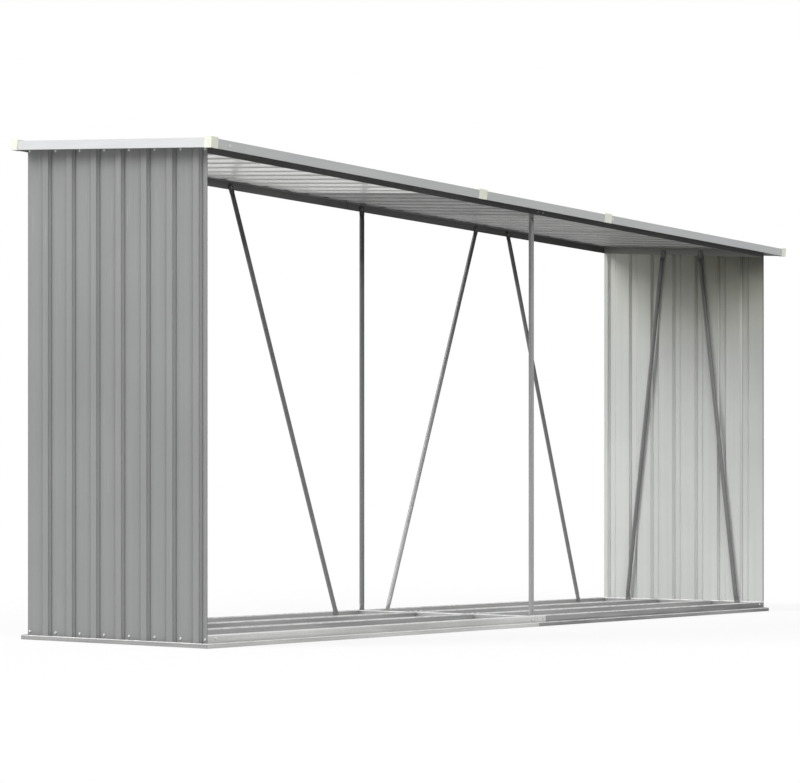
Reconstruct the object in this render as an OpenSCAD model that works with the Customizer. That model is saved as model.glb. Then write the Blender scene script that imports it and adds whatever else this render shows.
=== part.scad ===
// Open log store: steel base and roof frame, two ribbed end walls and a ribbed lean-to roof.
// Origin at the bottom centre of the bounding box, +X along the length, -Y to the low open side, +Z up.

/* [Overall] */
// Length over the roof's corner caps
roof_length = 3300; // [2400:10:3600]
// Depth over the roof's corner caps
roof_depth = 840; // [760:5:1000]
// Height to the top of the back corner caps
overall_height = 1520; // [1200:5:1900]
// Fall of the roof from the back edge to the front edge
roof_drop = 80; // [50:1:120]
// Roof edge beyond the frame at the front
front_eave = 70; // [30:1:90]
// Roof edge beyond the frame at the back
back_eave = 15; // [12:1:60]
// Roof edge beyond the frame at each end
end_eave = 56; // [40:1:90]

/* [Ribbed sheet] */
// Sheet thickness
sheet_t = 0.8; // [0.5:0.1:1.5]
// Distance from rib to rib
rib_pitch = 105; // [90:1:130]
// Rib height above the pan
rib_height = 8.5; // [5:0.5:12]
// Flat width of a rib's crest
rib_crest = 25; // [15:1:32]
// Run of a rib's slope
rib_slope = 8; // [5:0.5:12]
// First rib centre from the sheet's narrow edge
first_rib = 38; // [30:1:50]
// Pan left beyond the last rib where one roof sheet laps the next
lap_tail = 60; // [30:1:66]

/* [Rails] */
// Thickness of the rails, beams and top rails
rail_t = 1.2; // [0.8:0.1:2]
// Height of the base rails
rail_height = 38; // [28:1:50]
// Height of the base rails' outer lip
lip_height = 14; // [8:0.5:20]
// Clearance between a wall rib and the lip in front of it
lip_gap = 4.5; // [2:0.5:8]
// Depth of the beams' and top rails' web
beam_web = 26; // [22:1:36]
// Width of the beams' and top rails' top flange
beam_flange = 30; // [24:1:40]
// Where the two halves of a rail or beam meet, off the middle
seam_offset = 20; // [20:1:40]
// Length of the lap inside the joint
lap_length = 60; // [40:1:90]
// Width of the floor rails
floor_rail_width = 24; // [18:1:32]
// Width of the middle cross rail's flanges
cross_flange = 24; // [18:1:28]

/* [Tubes] */
// Post diameter
post_d = 18; // [14:0.5:24]
// Brace diameter
brace_d = 16; // [12:0.5:20]
// Thickness of a tube's flattened end
flat_t = 3; // [2:0.2:4]
// Length of a tube's flattened end
flat_length = 20; // [18:1:40]
// Length over which a tube goes from flat to round
flat_taper = 18; // [12:1:40]
// Fixing height of the tube feet above the ground
foot_z = 22; // [20:1:24]
// Fixing depth of the tube heads below the roof sheet
head_drop = 17; // [16:0.5:18]
// Foot of an inner back brace from the middle of the length
inner_foot = 142; // [90:1:240]
// Foot of an outer back brace from the end of the frame
outer_foot = 194; // [60:1:260]
// Distance between the heads of a pair of back braces
back_head_gap = 207; // [80:1:320]
// Foot of a side brace from the front or back of the frame
side_foot = 118; // [60:1:180]
// Distance between the heads of a pair of side braces
side_head_gap = 174; // [60:1:240]

/* [Roof trim] */
// Trim sheet thickness
trim_t = 1; // [0.6:0.1:1.5]
// Height of the trim's face
trim_face = 27; // [24:0.5:36]
// Width of the trim's top flange
trim_top = 30; // [20:1:40]
// Turned lower edge of the trim
trim_return = 5; // [3:0.5:8]
// Length of the middle length of trim
trim_middle = 740; // [500:5:1100]
// Width of a corner cap's leg
cap_width = 28; // [22:1:40]
// Length of a clip over a joint of the trim
clip_length = 42; // [28:1:60]
// Wall thickness of the caps and clips
cap_wall = 2; // [1.5:0.1:3]
// Cap height above the trim
cap_rise = 4; // [2:0.5:6]
// Cap depth below the trim
cap_drop = 1; // [0.5:0.1:2]
// Gap between the roof sheets' edges and the trim
edge_gap = 7; // [3:0.5:10]

/* [Hidden] */

frame_half = roof_length / 2 - end_eave;
frame_depth = roof_depth - front_eave - back_eave;
depth_half = frame_depth / 2;
frame_front = front_eave - roof_depth / 2;
frame_back = frame_front + frame_depth;
frame_mid = frame_front + depth_half;
rail_width = sheet_t + rib_height + lip_gap + rail_t;
joggle = 3;
press_inset = 0.4;
press_overlap = 1;
far = roof_length;

roof_angle = atan(roof_drop / roof_depth);
trim_level = rib_height + 2 * sheet_t + trim_t;
cap_level = trim_level + cap_rise;
cap_height = cap_rise + trim_face + cap_drop;
roof_run = (roof_depth - cap_height * sin(roof_angle)) / cos(roof_angle);
trim_half_x = roof_length / 2 - cap_wall;
trim_half_v = roof_run / 2 - cap_wall;
roof_mid_z = overall_height - cap_level * cos(roof_angle) - roof_run / 2 * sin(roof_angle);

rib_half = rib_crest / 2 + rib_slope;
roof_sheets = 5;
wall_ribs = floor((frame_depth - first_rib - rib_half) / rib_pitch) + 1;
sheet_half_x = trim_half_x - trim_t - edge_gap;
sheet_half_v = trim_half_v - trim_t - edge_gap;
roof_ribs = floor((2 * sheet_half_x - first_rib - rib_half) / rib_pitch) + 1;

cross_top = rail_height - rail_t;
cross_x = -post_d / 2 - flat_t - 2 * rail_t;
cross_end = cross_x + rail_t + cross_flange;
cross_relief = 3 * flat_t;

floor_rail_y = frame_depth / 6;
inner_head = (frame_half - back_head_gap) / 2;
outer_head = (frame_half + back_head_gap) / 2;
side_head = side_head_gap / 2;

base_profile = [[-rail_width, lip_height], [-rail_width, 0], [rail_t, 0], [rail_t, rail_height]];
trim_profile = [[trim_top, trim_level], [0, trim_level], [0, trim_level - trim_face],
    [trim_return, trim_level - trim_face]];

function turn_to(side) = side == "right" ? 90 : side == "back" ? 180 : side == "left" ? 270 : 0;

// Underside of the roof's pans above a point of the depth
function roof_z(y) = roof_mid_z + y * tan(roof_angle);

function beam_profile(top, rise) = [[0, top - beam_web], [0, top], [beam_flange, top + beam_flange * rise]];
function left_normal(p, q) = let (d = q - p) [-d[1], d[0]] / norm(d);
function shifted(line, by) = let (last = len(line) - 1) [for (i = [0:last])
    let (a = left_normal(line[max(i - 1, 0)], line[max(i, 1)]))
    let (b = left_normal(line[min(i, last - 1)], line[min(i + 1, last)]))
    line[i] + by * (a + b) / (1 + a * b)];
function turned(line) = [for (i = [len(line) - 1:-1:0]) line[i]];
function raised(line, by) = [for (p = line) p + [0, by]];

// Outline of a folded strip that lies between two offsets to the left of a line
function band(line, from, to) = concat(shifted(line, from), turned(shifted(line, to)));

// A ribbed line with its ribs at the given centres
function ribbed(start, stop, centres, level, height) = concat([[start, level]],
    [for (c = centres) each [[c - rib_half, level], [c - rib_crest / 2, level + height],
        [c + rib_crest / 2, level + height], [c + rib_half, level]]],
    [[stop, level]]);

// First or last rib of a roof sheet: neighbours share a rib
function sheet_rib(i) = round(i * (roof_ribs - 1) / roof_sheets);
function roof_rib_x(i) = first_rib - sheet_half_x + i * rib_pitch;

module along_x(start, stop) {
    translate([start, 0, 0]) rotate([90, 0, 90]) linear_extrude(stop - start) children();
}

// Places a piece on one side of the frame: x runs along that side, y points into the store
module on_side(side) {
    x = side == "right" ? frame_half : side == "left" ? -frame_half : 0;
    y = side == "front" ? frame_front : side == "back" ? frame_back : frame_mid;
    translate([x, y, 0]) rotate(turn_to(side)) children();
}

module on_roof() {
    translate([0, 0, roof_mid_z]) rotate([roof_angle, 0, 0]) children();
}

// Cuts a piece of a four-sided frame square across its corners
module mitred(half) {
    reach = 2 * beam_flange;
    intersection() {
        children();
        translate([0, 0, -overall_height]) linear_extrude(3 * overall_height)
            polygon([[-half - reach, -reach], [half + reach, -reach],
                [half - reach, reach], [reach - half, reach]]);
    }
}

// The half of a rail that shows at the joint
module outer_half(line, grow) {
    along_x(seam_offset, far) polygon(band(line, 0, grow));
}

// The half of a rail whose stepped end goes inside the other
module inner_half(line, grow) {
    along_x(-far, seam_offset) polygon(band(line, 0, grow));
    along_x(seam_offset - joggle, seam_offset) polygon(band(line, 0, 2 * grow));
    along_x(seam_offset - joggle, seam_offset + lap_length) polygon(band(line, grow, 2 * grow));
}

module base_outer(side) {
    color("Silver") on_side(side) mitred(frame_half) outer_half(base_profile, rail_t);
}

module base_inner(side) {
    color("Silver") on_side(side) mitred(frame_half) inner_half(base_profile, rail_t);
}

module base_end(side) {
    color("Silver") on_side(side) mitred(depth_half)
        along_x(-far, far) polygon(band(base_profile, 0, rail_t));
}

// Inverted channel from an end rail to the cross rail; one of each pair bridges the cross rail
module floor_rail(y, start, stop, bridge) {
    half = floor_rail_width / 2;
    channel = [[-half, 0], [-half, rail_height], [half, rail_height], [half, 0]];
    color("Silver") translate([0, y, 0]) {
        along_x(start, stop) polygon(band(channel, 0, -rail_t));
        if (bridge > 0)
            translate([stop - rail_t, -half, cross_top]) cube([bridge + rail_t, floor_rail_width, rail_t]);
    }
}

module floor_rail_left(y) {
    floor_rail(frame_mid + y, rail_t - frame_half, cross_x, cross_end - cross_x);
}

module floor_rail_right(y) {
    floor_rail(frame_mid + y, cross_end, frame_half - rail_t, 0);
}

module cross_rail_middle() {
    length = frame_depth - 2 * rail_t;
    start = frame_front + rail_t;
    color("Silver") translate([cross_x, start, 0]) {
        cube([rail_t, length, cross_top]);
        for (z = [0, cross_top - rail_t])
            translate([0, cross_relief, z]) cube([rail_t + cross_flange, length - 2 * cross_relief, rail_t]);
    }
}

// Ribbed end wall, standing in its rail's channel and cut to the roof's fall
module wall(side) {
    centres = [for (i = [0:wall_ribs - 1]) depth_half - first_rib - (wall_ribs - 1 - i) * rib_pitch];
    inside = ribbed(-depth_half, depth_half, centres, 0, -rib_height);
    color("DarkGray") intersection() {
        on_side(side) linear_extrude(overall_height)
            polygon(concat(raised(inside, -sheet_t), turned(inside)));
        along_x(-far, far) polygon([[-roof_depth, rail_t], [roof_depth, rail_t],
            [roof_depth, roof_z(roof_depth)], [-roof_depth, roof_z(-roof_depth)]]);
    }
}

module beam_outer(side, y, rise) {
    color("DimGray") on_side(side) mitred(frame_half) outer_half(beam_profile(roof_z(y), rise), -rail_t);
}

module beam_inner(side, y, rise) {
    color("DimGray") on_side(side) mitred(frame_half) inner_half(beam_profile(roof_z(y), rise), -rail_t);
}

module top_rail(side) {
    out = side == "left" ? -1 : 1;
    line = [for (p = beam_profile(0, 0)) [out * (frame_half - p[0]), p[1]]];
    color("DimGray") intersection() {
        on_roof() rotate([90, 0, 0]) linear_extrude(2 * roof_run, center = true)
            polygon(band(line, 0, out * rail_t));
        on_side(side) mitred(depth_half) translate([-far, -far, 0]) cube([2 * far, 2 * far, 2 * overall_height]);
    }
}

// One end of a tube, pressed flat to lie on the rail; axis is the tube's distance from the rail's face
module tube_end(d, axis) {
    flat_width = (PI * d - 2 * flat_t) / 2;
    rotate([-90, 0, 0]) cylinder(h = flat_t, d = flat_width, $fn = 48);
    translate([-flat_width / 2, 0, 0]) cube([flat_width, flat_t, flat_length]);
    hull() {
        translate([press_inset - flat_width / 2, press_inset, flat_length - press_overlap])
            cube([flat_width - 2 * press_inset, flat_t - 2 * press_inset, press_overlap]);
        translate([0, axis, flat_length + flat_taper])
            cylinder(h = press_overlap, d = d - 2 * press_inset, $fn = 32);
    }
}

// Tube between two fixing points [along, height] on the inside of a side of the frame
module tube(side, d, axis, foot, head) {
    run = head - foot;
    length = norm(run);
    plain = flat_length + flat_taper;
    color("Gray") on_side(side) translate([foot[0], rail_t, foot[1]]) rotate([0, atan2(run[0], run[1]), 0]) {
        tube_end(d, axis);
        translate([0, 0, length]) mirror([0, 0, 1]) tube_end(d, axis);
        translate([0, axis, plain]) cylinder(h = length - 2 * plain, d = d, $fn = 48);
    }
}

module post(side, y) {
    tube(side, post_d, flat_t / 2, [0, foot_z], [0, roof_z(y) - head_drop]);
}

// Back brace with its ends counted from the middle of the length to the right
module back_brace(foot, head) {
    tube("back", brace_d, flat_t / 2, [-foot, foot_z], [-head, roof_z(frame_back) - head_drop]);
}

// Side brace clear of the wall, with its ends counted from the middle of the depth to the back
module side_brace(side, foot, head) {
    way = side == "right" ? 1 : -1;
    top = roof_z(frame_mid + head) - head_drop;
    tube(side, brace_d, brace_d / 2, [foot * way, foot_z], [head * way, top]);
}

// Every second sheet lies one thickness higher, so that it laps both neighbours rib over rib
module roof_sheet(i) {
    first = sheet_rib(i);
    last = sheet_rib(i + 1);
    level = sheet_t * (i % 2);
    start = roof_rib_x(first) - first_rib;
    stop = i == roof_sheets - 1 ? sheet_half_x : roof_rib_x(last) + lap_tail;
    line = ribbed(start, stop, [for (k = [first:last]) roof_rib_x(k)], level, rib_height);
    color("DarkGray") on_roof() rotate([90, 0, 0]) linear_extrude(2 * sheet_half_v, center = true)
        polygon(concat(line, turned(raised(line, sheet_t))));
}

// Length of trim on one side of the roof, from start to stop along that side
module trim(side, start, stop) {
    long = side == "front" || side == "back";
    half = long ? trim_half_x : trim_half_v;
    color("Gainsboro") on_roof() rotate(turn_to(side))
        translate([0, long ? -trim_half_v : -trim_half_x, 0]) mitred(half)
            along_x(start, stop) polygon(band(trim_profile, 0, trim_t));
}

// Cap over an edge of the trim, hollow from the given inner end
module cap(length, inner) {
    color("Ivory") translate([0, 0, cap_level - cap_height]) difference() {
        cube([length, cap_width, cap_height]);
        translate([inner, cap_wall, -cap_rise]) cube([3 * length, cap_width, cap_height]);
    }
}

module corner_caps() {
    on_roof() for (x = [0, 1], v = [0, 1])
        mirror([x, 0, 0]) mirror([0, v, 0]) translate([-roof_length / 2, -roof_run / 2, 0])
            cap(cap_width, cap_wall);
}

module joint_clips() {
    on_roof() for (x = [-1, 1], v = [0, 1])
        mirror([0, v, 0]) translate([(x * trim_middle - clip_length) / 2, -roof_run / 2, 0])
            cap(clip_length, -clip_length);
}

base_inner("front");  // base_rail_front_left
base_outer("front");  // base_rail_front_right
base_outer("back");  // base_rail_back_left
base_inner("back");  // base_rail_back_right
base_end("left");  // base_rail_left
base_end("right");  // base_rail_right
floor_rail_left(-floor_rail_y);  // floor_rail_front_left
floor_rail_right(-floor_rail_y);  // floor_rail_front_right
floor_rail_left(floor_rail_y);  // floor_rail_back_left
floor_rail_right(floor_rail_y);  // floor_rail_back_right
cross_rail_middle();
wall("left");  // left_wall
wall("right");  // right_wall
top_rail("left");  // top_rail_left
top_rail("right");  // top_rail_right
beam_inner("front", frame_front, tan(roof_angle));  // front_beam_left
beam_outer("front", frame_front, tan(roof_angle));  // front_beam_right
beam_outer("back", frame_back, -tan(roof_angle));  // back_beam_left
beam_inner("back", frame_back, -tan(roof_angle));  // back_beam_right
post("front", frame_front);  // front_post
post("back", frame_back);  // back_post
back_brace(outer_foot - frame_half, -outer_head);  // back_brace_outer_left
back_brace(-inner_foot, -inner_head);  // back_brace_inner_left
back_brace(inner_foot, inner_head);  // back_brace_inner_right
back_brace(frame_half - outer_foot, outer_head);  // back_brace_outer_right
side_brace("left", side_foot - depth_half, -side_head);  // left_brace_front
side_brace("left", depth_half - side_foot, side_head);  // left_brace_back
side_brace("right", side_foot - depth_half, -side_head);  // right_brace_front
side_brace("right", depth_half - side_foot, side_head);  // right_brace_back
roof_sheet(0);  // roof_sheet_1
roof_sheet(1);  // roof_sheet_2
roof_sheet(2);  // roof_sheet_3
roof_sheet(3);  // roof_sheet_4
roof_sheet(4);  // roof_sheet_5
trim("front", -far, -trim_middle / 2);  // front_trim_left
trim("front", -trim_middle / 2, trim_middle / 2);  // front_trim_middle
trim("front", trim_middle / 2, far);  // front_trim_right
trim("back", trim_middle / 2, far);  // back_trim_left
trim("back", -trim_middle / 2, trim_middle / 2);  // back_trim_middle
trim("back", -far, -trim_middle / 2);  // back_trim_right
trim("left", -far, far);  // left_trim
trim("right", -far, far);  // right_trim
corner_caps();
joint_clips();
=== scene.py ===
"""Looks of the open log store: painted ribbed sheet, zinc rails, steel tubes, fixings, light and camera."""
import math
import random

import bmesh
import bpy
from mathutils import Matrix, Vector


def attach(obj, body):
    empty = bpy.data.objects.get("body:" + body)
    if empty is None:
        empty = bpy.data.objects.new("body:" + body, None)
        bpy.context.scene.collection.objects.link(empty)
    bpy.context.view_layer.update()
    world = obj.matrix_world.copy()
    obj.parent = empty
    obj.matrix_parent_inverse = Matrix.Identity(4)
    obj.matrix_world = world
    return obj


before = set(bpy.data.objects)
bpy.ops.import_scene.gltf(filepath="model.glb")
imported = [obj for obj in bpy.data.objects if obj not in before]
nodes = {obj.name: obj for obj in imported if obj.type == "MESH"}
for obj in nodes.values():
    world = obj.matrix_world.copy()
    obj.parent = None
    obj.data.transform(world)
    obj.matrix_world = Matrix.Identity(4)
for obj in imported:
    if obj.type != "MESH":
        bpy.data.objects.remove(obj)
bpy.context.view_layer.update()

scene = bpy.context.scene
rng = random.Random(9151)

X, Y, Z = 0, 1, 2
RIGHTWARD, FORWARD, BACKWARD, UPWARD = (1, 0, 0), (0, -1, 0), (0, 1, 0), (0, 0, 1)
HALVES = ("left", "right")
SIGNS = (-1, 1)

# Sizes shared with the construction, in metres
HALF_X = 1.594
FRONT_Y = -0.350
BACK_Y = 0.405
MID_Y = 0.0275
ROOF_ANGLE = math.atan(80 / 840)
ROOF_MID_Z = 1.4651
SHEET_T = 0.0008
RAIL_T = 0.0012
RAIL_TOP = 0.038
LIP_TOP = 0.014
FLOOR_RAIL_Y = 0.1258                                # off the middle
RIB_PITCH = 0.105
FIRST_RIB = 0.038
RIB_FOOT = 0.0205
ROOF_PANS = 30
FIRST_PAN_X = -1.5495
TRIM_V = 0.4184
TRIM_W = -0.0024
CLIP_X = 0.37
FLAT_T = 0.003
BACK_BRACES = ((0.142, 0.6935), (1.400, 0.9005))     # foot and head off the middle, inner and outer
SIDE_FOOT_Y = 0.2595                                 # off the middle
SIDE_HEAD_Y = 0.087


def roof_z(y):
    """Underside of the roof's pans."""
    return ROOF_MID_Z + y * math.tan(ROOF_ANGLE)


def roof_turn(x, v, w, lift=0.0):
    """A direction given in the roof's own slope."""
    s, c = math.sin(ROOF_ANGLE), math.cos(ROOF_ANGLE)
    return Vector((x, v * c - w * s, lift + v * s + w * c))


def on_roof(x, v, w):
    """A point given in the roof's own slope."""
    return roof_turn(x, v, w, ROOF_MID_Z)


# ---------------------------------------------------------------- materials

NOISE_LOW, NOISE_HIGH = 0.3, 0.7                     # nearly all of a noise lies between these
BEVEL_SAMPLES = 4
CORNER_SAMPLES = 6
RANGE_SOCKETS = ("From Min", "From Max", "To Min", "To Max")


class Surface:
    """A principled material with a few shorthands for its node tree."""

    def __init__(self, name, metallic=0.0, specular=0.5):
        self.mat = bpy.data.materials.new(name)
        self.mat.use_nodes = True
        self.tree = self.mat.node_tree
        self.bsdf = self.tree.nodes["Principled BSDF"]
        self.bsdf.inputs["Metallic"].default_value = metallic
        self.bsdf.inputs["Specular IOR Level"].default_value = specular
        self.coord = self.tree.nodes.new("ShaderNodeTexCoord").outputs["Object"]
        self.normal = self.tree.nodes.new("ShaderNodeNewGeometry").outputs["Normal"]

    def put(self, node, socket, value):
        """Links a socket, or sets a plain number or vector."""
        target = node.inputs[socket]
        if isinstance(value, bpy.types.NodeSocket):
            self.tree.links.new(value, target)
        else:
            target.default_value = value

    def math(self, operation, a, b=0.0):
        node = self.tree.nodes.new("ShaderNodeMath")
        node.operation = operation
        self.put(node, 0, a)
        self.put(node, 1, b)
        return node.outputs[0]

    def product(self, *values):
        result = values[0]
        for value in values[1:]:
            result = self.math("MULTIPLY", result, value)
        return result

    def axis(self, index):
        node = self.tree.nodes.new("ShaderNodeSeparateXYZ")
        self.put(node, "Vector", self.coord)
        return node.outputs[index]

    def dot(self, a, b):
        node = self.tree.nodes.new("ShaderNodeVectorMath")
        node.operation = "DOT_PRODUCT"
        self.put(node, 0, a)
        self.put(node, 1, b)
        return node.outputs["Value"]

    def span(self, value, low, high, to_low, to_high, smooth=False):
        """Maps low..high to to_low..to_high, clamped."""
        node = self.tree.nodes.new("ShaderNodeMapRange")
        node.interpolation_type = "SMOOTHSTEP" if smooth else "LINEAR"
        node.clamp = True
        self.put(node, "Value", value)
        for socket, number in zip(RANGE_SOCKETS, (low, high, to_low, to_high)):
            self.put(node, socket, number)
        return node.outputs["Result"]

    def noise(self, scale, detail, stretch=(1, 1, 1)):
        where = self.tree.nodes.new("ShaderNodeMapping")
        self.put(where, "Vector", self.coord)
        self.put(where, "Scale", stretch)
        node = self.tree.nodes.new("ShaderNodeTexNoise")
        self.put(node, "Vector", where.outputs["Vector"])
        self.put(node, "Scale", scale)
        self.put(node, "Detail", detail)
        return node.outputs["Fac"]

    def vary(self, low, high, scale, detail, stretch=(1, 1, 1)):
        """A noise between low and high."""
        return self.span(self.noise(scale, detail, stretch), NOISE_LOW, NOISE_HIGH, low, high)

    def cells(self, scale):
        """One random number for each cell."""
        node = self.tree.nodes.new("ShaderNodeTexVoronoi")
        self.put(node, "Vector", self.coord)
        self.put(node, "Scale", scale)
        split = self.tree.nodes.new("ShaderNodeSeparateColor")
        self.put(split, "Color", node.outputs["Color"])
        return split.outputs["Red"]

    def times(self, colour, factor):
        node = self.tree.nodes.new("ShaderNodeVectorMath")
        node.operation = "SCALE"
        self.put(node, 0, colour)
        self.put(node, "Scale", factor)
        return node.outputs["Vector"]

    def mix(self, factor, a, b):
        node = self.tree.nodes.new("ShaderNodeMix")
        node.data_type = "RGBA"
        self.put(node, "Factor", factor)
        sockets = [s for s in node.inputs if s.type == "RGBA"]
        for socket, value in zip(sockets, (a, b)):
            if isinstance(value, bpy.types.NodeSocket):
                self.tree.links.new(value, socket)
            else:
                socket.default_value = (*value, 1.0)
        return [s for s in node.outputs if s.type == "RGBA"][0]

    def bump(self, height, distance, strength, normal=None):
        node = self.tree.nodes.new("ShaderNodeBump")
        self.put(node, "Height", height)
        self.put(node, "Distance", distance)
        self.put(node, "Strength", strength)
        if normal is not None:
            self.tree.links.new(normal, node.inputs["Normal"])
        return node.outputs["Normal"]

    def bevel(self, radius):
        """The normal, as if edges and bends were rounded."""
        node = self.tree.nodes.new("ShaderNodeBevel")
        node.samples = BEVEL_SAMPLES
        self.put(node, "Radius", radius)
        return node.outputs["Normal"]

    def corners(self, distance):
        """1 on open faces, falling towards inner corners."""
        node = self.tree.nodes.new("ShaderNodeAmbientOcclusion")
        node.samples = CORNER_SAMPLES
        node.only_local = True
        self.put(node, "Distance", distance)
        return node.outputs["AO"]

    def edges(self, rounded):
        """1 along the edges, 0 on the flats."""
        return self.span(self.dot(rounded, self.normal), 0.985, 0.86, 0.0, 1.0)

    def wear(self, rounded, scale, detail, start, end, most, least=0.0):
        """Broken wear along the edges."""
        return self.product(self.edges(rounded), self.span(self.noise(scale, detail), start, end, least, most))

    def finish(self, colour, roughness, normal):
        self.put(self.bsdf, "Base Color", colour)
        self.put(self.bsdf, "Roughness", roughness)
        self.put(self.bsdf, "Normal", normal)
        return self.mat


def stretched(along, fine, coarse):
    """Scale of a noise that is drawn out along one axis."""
    scale = [fine] * 3
    scale[along] = coarse
    return scale


ZINC = (0.58, 0.59, 0.585)
ZINC_HIGHLIGHT = (0.95, 0.955, 0.945)
SHEET_OUTSIDE = (0.274, 0.279, 0.277)
SHEET_INSIDE = (0.640, 0.653, 0.635)
OUTSIDE_ROUGH = 0.40
BEND_R = 0.005
EDGE_R = 0.0012
# reach and depth of the painted shade in inner corners
CORNER_SHADE_REACH = 0.022
CORNER_SHADE_MOST = 0.34
SHADE_TOP = 1.43                                     # the walls' painted shade below the roof is full here
SHADE_WIDE = 1.10                                    # and starts here, soft,
SHADE_NARROW = 1.30                                  # and again here
SHADE_FRONT = 0.15                                   # share of the depth with the deepest shade
# where the painted shade along a wall's front edge lies
FRONT_EDGE = (FRONT_Y + 0.003, FRONT_Y + 0.006)


def roof_shade_coat(s, inside):
    """A wall's back coat with painted shade: darker below the roof, most at the front, darker down the middle of the
    depth, a dark front edge of painted shade, paler rib flanks facing back as painted light, and a yellowish tint in
    the painted shade.
    """
    height = s.math("ADD", s.axis(Z), s.vary(-0.03, 0.03, scale=4, detail=2))
    across = s.span(s.axis(Y), FRONT_Y, BACK_Y, 0.0, 1.0)
    # painted shade below the roof, deepest towards the front
    wide = s.span(height, SHADE_WIDE, SHADE_TOP, 1.0, s.span(across, SHADE_FRONT, 1.0, 0.34, 1.0), True)
    narrow = s.span(height, SHADE_NARROW, SHADE_TOP, 1.0, s.span(across, SHADE_FRONT, 1.0, 0.58, 1.0))
    off_middle = s.math("ABSOLUTE", s.math("SUBTRACT", s.axis(Y), MID_Y))
    # darker down the middle of the depth
    middle = s.span(off_middle, 0.06, 0.28, 0.90, 1.0, True)
    # painted shade along the front edge
    edge = s.span(s.axis(Y), *FRONT_EDGE, 0.45, 1.0)
    # painted light: rib flanks facing back are paler
    painted_flank_light = s.span(s.dot(s.normal, BACKWARD), 0.2, 0.6, 1.0, 1.3)
    # yellowish tint of the painted shade, strongest at the top and front
    shade_tint = (inside[0], 0.99 * inside[1], 0.82 * inside[2])
    shade_tint_share = s.product(s.span(height, 1.0, 1.40, 0.0, 1.0), s.span(across, 0.3, 1.0, 1.0, 0.25))
    return s.times(s.mix(shade_tint_share, inside, shade_tint), s.product(wide, narrow, middle, edge, painted_flank_light))


def sheet_material(name, outward, along, inside_rough, inside=SHEET_INSIDE, specular=0.4, painted_wall_shade=False,
                   hollow_shade=0.0, flank_light=1.0):
    """Coil-coated sheet: grey top coat on its outward side, pale back coat on the other.

    Its back coat gets painted shade below the roof where asked; its hollows get painted shade by the given share, and
    its rib flanks painted light by the given paleness.
    """
    s = Surface(name, specular=specular)
    outside = s.span(s.dot(s.normal, outward), -0.05, 0.05, 0.0, 1.0)
    cloud = s.vary(0.955, 1.045, scale=2.2, detail=3)
    streak = s.vary(0.975, 1.025, scale=1.0, detail=3, stretch=stretched(along, 60, 1.2))
    speck = s.vary(0.985, 1.015, scale=700, detail=1)
    rounded = s.bevel(BEND_R)
    # painted shade in inner corners and hollows, weaker where the face turns to the back
    corner_shade = s.product(s.span(s.corners(CORNER_SHADE_REACH), 0.72, 0.98, CORNER_SHADE_MOST, 0.0),
                      s.span(outside, 0.0, 1.0, hollow_shade, 1.0),
                      s.span(s.dot(rounded, BACKWARD), 0.02, 0.30, 1.0, 0.2))
    shade = s.product(cloud, streak, speck, s.math("SUBTRACT", 1.0, corner_shade))
    worn = s.wear(s.bevel(EDGE_R), scale=120, detail=3, start=0.45, end=0.62, most=0.4)
    if painted_wall_shade:
        inside = roof_shade_coat(s, inside)
    # painted light: the back coat's steep rib flanks are paler by the given factor
    if flank_light != 1.0:
        steep = s.math("ABSOLUTE", s.dot(s.normal, RIGHTWARD))
        inside = s.times(inside, s.span(steep, 0.25, 0.6, 1.0, flank_light))
    deep = s.span(s.axis(Z), 1.05, 1.35, 0.10, 0.40) if painted_wall_shade else 0.12
    lines = s.noise(scale=1.0, detail=2, stretch=stretched(along, 200, 5))
    scratch = s.product(s.span(lines, 0.66, 0.72, 0.0, deep), outside)
    colour = s.mix(worn, s.times(s.mix(outside, inside, SHEET_OUTSIDE), shade), ZINC)
    colour = s.mix(scratch, colour, ZINC)
    grain = s.vary(-0.05, 0.06, scale=9, detail=4)
    scuff = s.span(s.noise(scale=1.0, detail=4, stretch=stretched(along, 180, 3.6)), 0.52, 0.75, 0.0, 0.10)
    rough = s.math("ADD", s.span(outside, 0.0, 1.0, inside_rough, OUTSIDE_ROUGH), s.math("ADD", grain, scuff))
    canning = s.bump(s.noise(scale=3.2, detail=1), distance=0.0022, strength=0.5, normal=rounded)
    peel = s.bump(s.noise(scale=600, detail=2), distance=0.00004, strength=0.5, normal=canning)
    return s.finish(colour, rough, peel)


SPANGLE = 130
HIGHLIGHT_RIM = (RAIL_TOP - 0.0045, RAIL_TOP - 0.0025)
LIP_HIGHLIGHT_RIM = (LIP_TOP - 0.003, LIP_TOP - 0.002)
LIP_END = (LIP_TOP, LIP_TOP + 0.0005)
LIP_STEP = (LIP_TOP - 0.001, LIP_TOP + 0.001)


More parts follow.
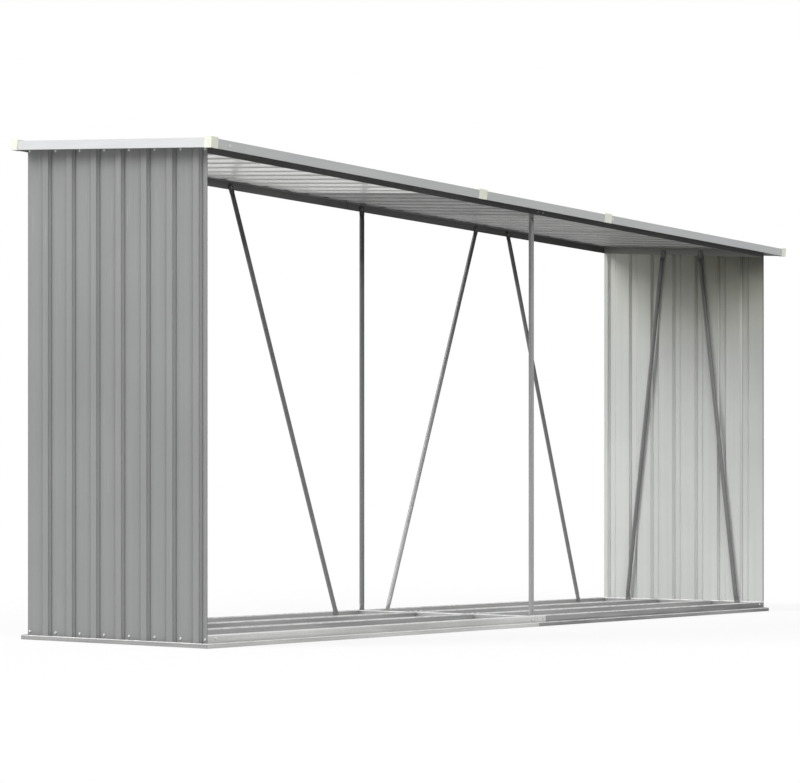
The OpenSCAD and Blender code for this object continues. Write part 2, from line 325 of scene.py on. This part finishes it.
def rail_material(name, along, colour, lip=None, dull=0.80):
    """Galvanised strip: faint spangle, roll streaks, dull patches, a painted highlight along its upper edges and its
    lip's top; lip is where its lip faces.
    """
    s = Surface(name, metallic=0.45)
    run = stretched(along, 160, 0.8)
    spangle = s.span(s.cells(SPANGLE), 0.0, 1.0, 0.975, 1.025)
    rolled = s.vary(0.90, 1.08, scale=1.0, detail=3, stretch=run)
    smear = s.noise(scale=1.0, detail=3, stretch=stretched(along, 30, 2.2))
    shade = s.product(spangle, rolled, s.span(smear, 0.34, 0.66, dull, 1.08))
    # painted highlight along the top edge, and along the lip's top where the lip faces out
    bright = s.span(s.axis(Z), *HIGHLIGHT_RIM, 0.0, 1.0)
    if lip is not None:
        facing = s.span(s.dot(s.normal, lip), 0.4, 0.6, 0.0, 0.85)
        band = s.product(s.span(s.axis(Z), *LIP_HIGHLIGHT_RIM, 0.0, 1.0), s.span(s.axis(Z), *LIP_END, 1.0, 0.0))
        bright = s.math("MAXIMUM", bright, s.product(band, facing))
        shade = s.product(shade, s.span(s.axis(Z), *LIP_STEP, 0.88, 1.0))
    flat = s.span(s.dot(s.normal, UPWARD), 0.5, 0.9, 1.0, 0.3)
    broken = s.span(s.noise(scale=40, detail=2), 0.3, 0.6, 0.55, 0.95)
    paint = s.mix(s.product(bright, flat, broken), s.times(colour, shade), ZINC_HIGHLIGHT)
    rough = s.math("ADD", s.vary(0.34, 0.50, scale=14, detail=4), s.span(s.cells(SPANGLE), 0.0, 1.0, -0.03, 0.03))
    lines = s.bump(s.noise(scale=1.0, detail=2, stretch=run), distance=0.00006, strength=0.5, normal=s.bevel(EDGE_R))
    return s.finish(paint, rough, lines)


FRAME_TINT = (1.0, 1.01, 0.99)
FRAME_WORN = (0.33, 0.33, 0.32)
# where the back beam's painted shade starts to change along its length
FRAME_SHADE_START = -0.4


def frame_material(name, grey_left, grey_right):
    """Strip of the roof frame, painted dark as painted shade: its grey at the left, and at the right end."""
    s = Surface(name, specular=0.25)
    shade = s.product(s.vary(0.88, 1.12, scale=4, detail=3),
                      s.vary(0.93, 1.07, scale=1.0, detail=2, stretch=stretched(X, 90, 1.5)),
                      s.span(s.axis(X), FRAME_SHADE_START, HALF_X, grey_left, grey_right))
    rounded = s.bevel(0.0015)
    worn = s.wear(rounded, scale=90, detail=3, start=0.48, end=0.66, most=0.6)
    colour = s.mix(worn, s.times(FRAME_TINT, shade), FRAME_WORN)
    rough = s.vary(0.42, 0.58, scale=20, detail=4)
    return s.finish(colour, rough, s.bump(s.noise(scale=500, detail=2), 0.00005, 0.5, rounded))


TUBE_TINT = (1.0, 1.01, 1.0)
TUBE_GREY = 0.17


def tube_material(name, level, top, foot):
    """Satin steel tube, drawn along its length, with painted light and shade: its level, its share under painted shade
    at the head, and its grey at the foot, where painted light makes it paler.
    """
    s = Surface(name, metallic=0.15, specular=0.45)
    height = s.math("ADD", s.axis(Z), s.vary(-0.12, 0.12, scale=5, detail=3))
    # painted light: paler towards the foot
    painted_foot_light = s.span(height, 0.1, 1.2, foot, TUBE_GREY)
    # painted shade at the head, below the roof
    head = s.span(height, 1.15, 1.38, 1.0, top, True)
    drawn = s.vary(0.9, 1.1, scale=1.0, detail=3, stretch=stretched(Z, 260, 2.0))
    rounded = s.bevel(0.0008)
    worn = s.wear(rounded, scale=150, detail=3, start=0.45, end=0.6, most=0.7)
    colour = s.mix(worn, s.times(TUBE_TINT, s.product(painted_foot_light, head, drawn, level)), ZINC)
    rough = s.vary(0.30, 0.46, scale=25, detail=4)
    lines = s.noise(scale=1.0, detail=2, stretch=stretched(Z, 300, 3.0))
    return s.finish(colour, rough, s.bump(lines, 0.00005, 0.5, rounded))


TRIM_WORN = (0.42, 0.42, 0.41)


def trim_material(name, along, colour):
    """Pale painted edge trim."""
    s = Surface(name, specular=0.4)
    shade = s.product(s.vary(0.95, 1.04, scale=3.0, detail=3),
                      s.vary(0.97, 1.03, scale=1.0, detail=3, stretch=stretched(along, 80, 1.0)))
    rounded = s.bevel(EDGE_R)
    worn = s.wear(rounded, scale=110, detail=3, start=0.46, end=0.62, most=0.6)
    paint = s.mix(worn, s.times(colour, shade), TRIM_WORN)
    rough = s.vary(0.34, 0.48, scale=16, detail=4)
    return s.finish(paint, rough, s.bump(s.noise(scale=450, detail=2), 0.00005, 0.5, rounded))


CAP_COLOUR = (0.91, 0.925, 0.79)
CAP_EDGE = (0.94, 0.95, 0.86)


def cap_material(name):
    """Moulded off-white plastic."""
    s = Surface(name, specular=0.45)
    s.bsdf.inputs["Subsurface Weight"].default_value = 0.15
    s.bsdf.inputs["Subsurface Radius"].default_value = (0.004, 0.004, 0.003)
    s.bsdf.inputs["Subsurface Scale"].default_value = 1.0
    rounded = s.bevel(EDGE_R)
    worn = s.wear(rounded, scale=200, detail=2, start=0.4, end=0.6, most=0.35)
    colour = s.mix(worn, s.times(CAP_COLOUR, s.vary(0.95, 1.04, scale=40, detail=3)), CAP_EDGE)
    rough = s.vary(0.38, 0.52, scale=90, detail=3)
    return s.finish(colour, rough, s.bump(s.noise(scale=900, detail=2), 0.00005, 0.6, rounded))


def screw_material(name, level):
    """Zinc-plated fixings, bright, or darkened as painted shade."""
    s = Surface(name, metallic=0.4)
    rounded = s.bevel(0.0004)
    worn = s.wear(rounded, scale=500, detail=2, start=0.4, end=0.6, most=0.5, least=0.1)
    plate = s.times((level, level, 1.01 * level), s.vary(0.88, 1.08, scale=300, detail=3))
    colour = s.mix(worn, plate, (min(1.0, 1.2 * level),) * 3)
    rough = s.vary(0.24, 0.40, scale=400, detail=3)
    return s.finish(colour, rough, s.bump(s.noise(scale=1500, detail=2), 0.00003, 0.5, rounded))


WASHER_COLOUR = (0.62, 0.63, 0.62)


def washer_material(name):
    """Grey sealing washers under the screw heads."""
    s = Surface(name, specular=0.35)
    colour = s.times(WASHER_COLOUR, s.vary(0.85, 1.15, scale=350, detail=3))
    rough = s.vary(0.5, 0.65, scale=500, detail=2)
    return s.finish(colour, rough, s.bump(s.noise(scale=1200, detail=2), 0.00004, 0.6))


def dress(names, material):
    """Gives CAD nodes their material."""
    for name in names:
        mesh = nodes[name].data
        mesh.materials.clear()
        mesh.materials.append(material)


END_RAIL = (0.36, 0.365, 0.36)
# painted shade: the top rails' back coat is dark and yellowish, like the shade below the roof
TOP_RAIL_SHADE = (0.20, 0.20, 0.185)
WALL_ROUGH = 0.36
ROOF_SPECULAR = 0.28
# Roof sheets from the left: back coat's grey, lighter on the near sheets and darker on the far ones as painted light
# and shade, its roughness, share of painted shade in its hollows, paleness of its rib flanks as painted light
ROOF_COATS = (
    (0.97, 0.20, 1.0, 1.0),
    (0.84, 0.24, 1.0, 1.0),
    (0.185, 0.44, 0.0, 2.1),
    (0.285, 0.46, 0.0, 2.0),
    (0.25, 0.46, 0.0, 2.0),
)
# Tubes: level of painted light, which differs from tube to tube, share left under painted shade at the head, grey at
# the foot, painted paler there
TUBE_TONES = {"front_post": (1.72, 0.78, 0.232), "back_brace_inner_right": (1.3, 0.32, 0.30)}
BACK_TONES = (0.95, 0.32, 0.24)
SIDE_TONES = (1.2, 0.6, 0.15)

front_zinc = rail_material("rail_zinc_front_left", X, (0.68, 0.685, 0.67), FORWARD)
dull_zinc = rail_material("rail_zinc_front_right", X, (0.36, 0.365, 0.36), FORWARD, dull=0.50)
# darker copy of the rail zinc: painted shade on the rails under the roof
floor_zinc_shaded = rail_material("rail_zinc_floor", X, (0.395, 0.40, 0.395))
cross_zinc = rail_material("rail_zinc_cross", Y, (0.45, 0.455, 0.45))
# Both beams' greys are painted shade under the roof; the back beam's lightens towards the left.
front_frame = frame_material("roof_frame_front", 0.078, 0.078)
back_frame = frame_material("roof_frame_back", 0.165, 0.080)
# a darker copy of the side trims' pale paint: painted shade on the front and back trims
trim_x_shaded = trim_material("trim_paint_x", X, (0.555, 0.561, 0.564))
trim_y = trim_material("trim_paint_y", Y, (0.715, 0.722, 0.728))
cap_plastic = cap_material("cap_plastic")
screw_zinc = screw_material("screw_zinc", 0.75)
# darker copy of the screw zinc: painted shade on the screws of the tubes and beams
screw_shaded = screw_material("screw_shaded", 0.22)
washer_grey = washer_material("washer_grey")

for side, sign in zip(HALVES, SIGNS):
    outward = (sign, 0, 0)
    dress([f"{side}_wall"], sheet_material(f"wall_paint_{side}", outward, Z, WALL_ROUGH, painted_wall_shade=True))
    dress([f"base_rail_{side}"], rail_material(f"rail_zinc_{side}", Y, END_RAIL, outward))
for number, (tone, rough, hollow_shade, flank_light) in enumerate(ROOF_COATS, 1):
    dress([f"roof_sheet_{number}"],
          sheet_material(f"roof_paint_{number}", UPWARD, Y, rough, (tone, 1.005 * tone, 0.985 * tone),
                         ROOF_SPECULAR, hollow_shade=hollow_shade, flank_light=flank_light))
dress(["base_rail_front_left"], front_zinc)
dress(["base_rail_front_right"], dull_zinc)
dress([f"{kind}_{half}" for kind in ("base_rail_back", "floor_rail_front", "floor_rail_back")
       for half in HALVES], floor_zinc_shaded)
dress(["cross_rail_middle"], cross_zinc)
dress([f"front_beam_{half}" for half in HALVES], front_frame)
dress([f"back_beam_{half}" for half in HALVES], back_frame)
dress([f"top_rail_{side}" for side in HALVES], sheet_material("top_rail_paint", UPWARD, Y, 0.45, TOP_RAIL_SHADE))
for name in nodes:
    if "_brace_" in name or name.endswith("_post"):
        tones = BACK_TONES if name.startswith("back") else SIDE_TONES
        dress([name], tube_material(f"{name}_steel", *TUBE_TONES.get(name, tones)))
dress([name for name in nodes if name.startswith(("front_trim", "back_trim"))], trim_x_shaded)
dress([f"{side}_trim" for side in HALVES], trim_y)
dress(["corner_caps", "joint_clips"], cap_plastic)


# ---------------------------------------------------------------- fixings

SIDES = 16
HEAD_R = 0.0042
HEAD_H = 0.0027
WASHER_R = 0.0062
WASHER_H = 0.0011
WASHER_CHAMFER = 0.0005
ARM_R = 0.0021
NOTCH_R = 0.0008
RECESS = 0.0014
RECESS_TAPER = 0.8
SUNK = 0.0001                                        # heads and washers start this far inside what they sit on
DOME = ((1.0, 0.3), (0.93, 0.62), (0.76, 0.88), (0.58, 1.0))  # shares of the head's radius and height


def ring(bm, turn, radius, height):
    """A closed ring of vertices; radius may be one number or one per side."""
    radii = radius if isinstance(radius, (list, tuple)) else [radius] * SIDES
    return [bm.verts.new(turn @ Vector((r * math.cos(2 * math.pi * i / SIDES),
                                        r * math.sin(2 * math.pi * i / SIDES), height)))
            for i, r in enumerate(radii)]


def skin(bm, rings, index):
    """Joins rings into a closed skin of one material."""
    faces = []
    for low, high in zip(rings, rings[1:]):
        for i in range(SIDES):
            k = (i + 1) % SIDES
            faces.append(bm.faces.new((low[i], low[k], high[k], high[i])))
    faces.append(bm.faces.new(list(reversed(rings[0]))))
    faces.append(bm.faces.new(rings[-1]))
    for face in faces:
        face.material_index = index
        face.smooth = len(face.verts) == 4


def add_screw(bm, point, axis, washer):
    """Pan head with a cross recess, on a thin washer if asked; axis points away from what it holds."""
    turn = Matrix.Translation(point) @ axis.normalized().to_track_quat("Z", "Y").to_matrix().to_4x4()
    turn = turn @ Matrix.Rotation(rng.uniform(0, math.pi), 4, "Z")
    seat = 0.0
    if washer:
        skin(bm, [ring(bm, turn, WASHER_R, -SUNK), ring(bm, turn, WASHER_R, 0.7 * WASHER_H),
                  ring(bm, turn, WASHER_R - WASHER_CHAMFER, WASHER_H)], 1)
        seat = WASHER_H
    cross = [ARM_R if i % 4 != 2 else NOTCH_R for i in range(SIDES)]
    rings = [ring(bm, turn, HEAD_R, seat - SUNK)]
    rings += [ring(bm, turn, wide * HEAD_R, seat + high * HEAD_H) for wide, high in DOME]
    rings += [ring(bm, turn, cross, seat + HEAD_H),
              ring(bm, turn, [RECESS_TAPER * r for r in cross], seat + HEAD_H - RECESS)]
    skin(bm, rings, 0)


def fixings(name, places, washer=False, metal=screw_zinc):
    """One piece that holds a group of screws, each given as a point and an axis."""
    bm = bmesh.new()
    for point, axis in places:
        add_screw(bm, Vector(point), Vector(axis), washer)
    mesh = bpy.data.meshes.new(name)
    bm.to_mesh(mesh)
    bm.free()
    mesh.materials.append(metal)
    mesh.materials.append(washer_grey)
    piece = bpy.data.objects.new(name, mesh)
    scene.collection.objects.link(piece)
    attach(piece, "root")


WALL_RIBS = 7
SCREW_OFF_RIB = 0.017
ROW_TOP = 0.013
ROW_FOOT = 0.024
EDGE_SCREW = 0.009
for side, sign in zip(HALVES, SIGNS):
    near_edge, far_edge = (BACK_Y, FRONT_Y) if sign > 0 else (FRONT_Y, BACK_Y)
    rows = [near_edge - sign * (FIRST_RIB + RIB_PITCH * k - RIB_FOOT - SCREW_OFF_RIB) for k in range(1, WALL_RIBS)]
    rows += [near_edge - sign * EDGE_SCREW, far_edge + sign * EDGE_SCREW]
    wall = sign * (HALF_X + SHEET_T)
    places = [((wall, y, z), (sign, 0, 0)) for y in rows for z in (ROW_FOOT, roof_z(y) - ROW_TOP)]
    fixings(f"{side}_wall_screws", places)

FOOT_Z = 0.022
HEAD_DROP = 0.017
tube_places = []
rail_places = []
for side_y, way in ((FRONT_Y, 1), (BACK_Y, -1)):
    seat_y = side_y + way * (RAIL_T + FLAT_T)
    columns = [(0.0, 0.0)]
    if side_y == BACK_Y:
        columns += [(sign * foot, sign * head) for sign in SIGNS for foot, head in BACK_BRACES]
    for foot, head in columns:
        tube_places.append(((foot, seat_y, FOOT_Z), (0, way, 0)))
        rail_places.append(((foot, side_y, FOOT_Z), (0, -way, 0)))
        tube_places.append(((head, seat_y, roof_z(side_y) - HEAD_DROP), (0, way, 0)))
for sign in SIGNS:
    seat_x = sign * (HALF_X - RAIL_T - FLAT_T)
    for way in SIGNS:
        rail_places.append(((seat_x, MID_Y + way * SIDE_FOOT_Y, FOOT_Z), (-sign, 0, 0)))
        head_y = MID_Y + way * SIDE_HEAD_Y
        tube_places.append(((seat_x, head_y, roof_z(head_y) - HEAD_DROP), (-sign, 0, 0)))
fixings("tube_screws", tube_places, metal=screw_shaded)

JOINT_X = (0.035, 0.065)
RAIL_SCREW_Z = 0.027
RAIL_END_X = 1.560
FLOOR_SCREW_X = (-1.572, -0.030, -0.002, 0.030, 1.572)
for side_y, way in ((FRONT_Y, -1), (BACK_Y, 1)):
    for x in JOINT_X:
        rail_places.append(((-way * x, side_y + way * RAIL_T, RAIL_SCREW_Z), (0, way, 0)))
    for sign in SIGNS:
        rail_places.append(((sign * RAIL_END_X, side_y, RAIL_SCREW_Z), (0, way, 0)))
for y in (MID_Y - FLOOR_RAIL_Y, MID_Y + FLOOR_RAIL_Y):
    for x in FLOOR_SCREW_X:
        rail_places.append(((x, y, RAIL_TOP), UPWARD))
fixings("rail_screws", rail_places)

BEAM_DROP = 0.014
beam_places = [((-way * x, side_y, roof_z(side_y) - BEAM_DROP), (0, way, 0))
               for side_y, way in ((FRONT_Y, -1), (BACK_Y, 1)) for x in JOINT_X]
fixings("beam_screws", beam_places, metal=screw_shaded)

ROOF_ROW = 0.016
roof_up = roof_turn(0, 0, 1)
roof_places = []
for k in range(0, ROOF_PANS, 2):
    for y in (FRONT_Y + ROOF_ROW, BACK_Y - ROOF_ROW):
        roof_places.append((on_roof(FIRST_PAN_X + RIB_PITCH * k, y / math.cos(ROOF_ANGLE), SHEET_T), roof_up))
fixings("roof_screws", roof_places, washer=True)

TRIM_SCREW_X = (-1.572, CLIP_X + 0.030)
trim_places = [(on_roof(-way * x, way * TRIM_V, TRIM_W), roof_turn(0, way, 0)) for way in SIGNS for x in TRIM_SCREW_X]
fixings("trim_screws", trim_places)


# ---------------------------------------------------------------- stage, light and camera

def light_paths(tree):
    """1 for rays that see the white background: camera, glossy and transmission."""
    path = tree.nodes.new("ShaderNodeLightPath")
    seen = path.outputs["Is Camera Ray"]
    for name in ("Is Glossy Ray", "Is Transmission Ray"):
        both = tree.nodes.new("ShaderNodeMath")
        both.operation = "MAXIMUM"
        tree.links.new(seen, both.inputs[0])
        tree.links.new(path.outputs[name], both.inputs[1])
        seen = both.outputs[0]
    return seen


WHITE = (1.0, 1.0, 1.0, 1.0)
SKY_HORIZON = 0.18
SKY_ZENITH = 0.70
SKY_FULL = 0.9                                       # height of the direction from which the sky is at its zenith level
world = bpy.data.worlds.new("studio")
scene.world = world
world.use_nodes = True
tree = world.node_tree
tree.nodes.clear()
sky = tree.nodes.new("ShaderNodeBackground")
white = tree.nodes.new("ShaderNodeBackground")
choice = tree.nodes.new("ShaderNodeMixShader")
output = tree.nodes.new("ShaderNodeOutputWorld")
direction = tree.nodes.new("ShaderNodeTexCoord")
split = tree.nodes.new("ShaderNodeSeparateXYZ")
level = tree.nodes.new("ShaderNodeMapRange")
for socket, number in zip(RANGE_SOCKETS, (0.0, SKY_FULL, SKY_HORIZON, SKY_ZENITH)):
    level.inputs[socket].default_value = number
white.inputs["Strength"].default_value = 1.0
sky.inputs["Color"].default_value = WHITE
white.inputs["Color"].default_value = WHITE
tree.links.new(direction.outputs["Generated"], split.inputs["Vector"])
tree.links.new(split.outputs["Z"], level.inputs["Value"])
tree.links.new(level.outputs["Result"], sky.inputs["Strength"])
tree.links.new(light_paths(tree), choice.inputs[0])
tree.links.new(sky.outputs[0], choice.inputs[1])
tree.links.new(white.outputs[0], choice.inputs[2])
tree.links.new(choice.outputs[0], output.inputs["Surface"])

FLOOR_REACH = 90.0
FLOOR_CELLS = 8
FLOOR_DROP = 0.0005
FLOOR_WHITE = 0.82                                   # share of plain white that the camera sees, the rest is shaded
FLOOR_BOUNCE = 0.56                                  # the floor's grey for the light that it throws on the object
FLOOR_SEEN = 0.95                                    # and where it is seen
bm = bmesh.new()
bmesh.ops.create_grid(bm, x_segments=FLOOR_CELLS, y_segments=FLOOR_CELLS, size=FLOOR_REACH)
floor_mesh = bpy.data.meshes.new("floor")
bm.to_mesh(floor_mesh)
bm.free()
floor = bpy.data.objects.new("floor", floor_mesh)
scene.collection.objects.link(floor)
floor.location.z = -FLOOR_DROP
floor_paint = bpy.data.materials.new("floor_white")
floor_paint.use_nodes = True
tree = floor_paint.node_tree
tree.nodes.clear()
matt = tree.nodes.new("ShaderNodeBsdfDiffuse")
glow = tree.nodes.new("ShaderNodeEmission")
choice = tree.nodes.new("ShaderNodeMixShader")
share = tree.nodes.new("ShaderNodeMath")
tint = tree.nodes.new("ShaderNodeMapRange")
output = tree.nodes.new("ShaderNodeOutputMaterial")
seen = light_paths(tree)
share.operation = "MULTIPLY"
share.inputs[1].default_value = FLOOR_WHITE
tint.inputs["To Min"].default_value = FLOOR_BOUNCE
tint.inputs["To Max"].default_value = FLOOR_SEEN
glow.inputs["Strength"].default_value = 1.0
tree.links.new(seen, share.inputs[0])
tree.links.new(seen, tint.inputs["Value"])
tree.links.new(tint.outputs["Result"], matt.inputs["Color"])
tree.links.new(share.outputs[0], choice.inputs[0])
tree.links.new(matt.outputs[0], choice.inputs[1])
tree.links.new(glow.outputs[0], choice.inputs[2])
tree.links.new(choice.outputs[0], output.inputs["Surface"])
floor_mesh.materials.append(floor_paint)


def sun(name, towards, level, angle):
    """Soft distant lamp; level 1 lights a facing surface to its own colour."""
    lamp = bpy.data.lights.new(name, "SUN")
    lamp.energy = level * math.pi
    lamp.angle = math.radians(angle)
    obj = bpy.data.objects.new(name, lamp)
    obj.rotation_mode = "QUATERNION"
    obj.rotation_quaternion = Vector(towards).to_track_quat("Z", "Y")
    scene.collection.objects.link(obj)


sun("key", towards=(-0.70, 0.46, 0.50), level=0.55, angle=30)
sun("fill", towards=(-0.45, -0.65, 0.60), level=0.36, angle=40)

IMAGE_W, IMAGE_H = 800, 783
FOCAL_PX = 2194.21
HORIZON_PX = 517.30
SENSOR = 36.0
EYE = (-6.1180, -4.6692, 0.3723)
EYE_YAW = -51.3381                                   # degrees
CLIP_END = 400.0
camera = bpy.data.cameras.new("camera")
camera.sensor_fit = "HORIZONTAL"
camera.sensor_width = SENSOR
camera.lens = FOCAL_PX / IMAGE_W * SENSOR
camera.shift_y = (HORIZON_PX - IMAGE_H / 2) / IMAGE_W
camera.clip_end = CLIP_END
eye = bpy.data.objects.new("camera", camera)
eye.location = EYE
eye.rotation_euler = (math.pi / 2, 0, math.radians(EYE_YAW))
scene.collection.objects.link(eye)
scene.camera = eye
scene.view_settings.view_transform = "Standard"
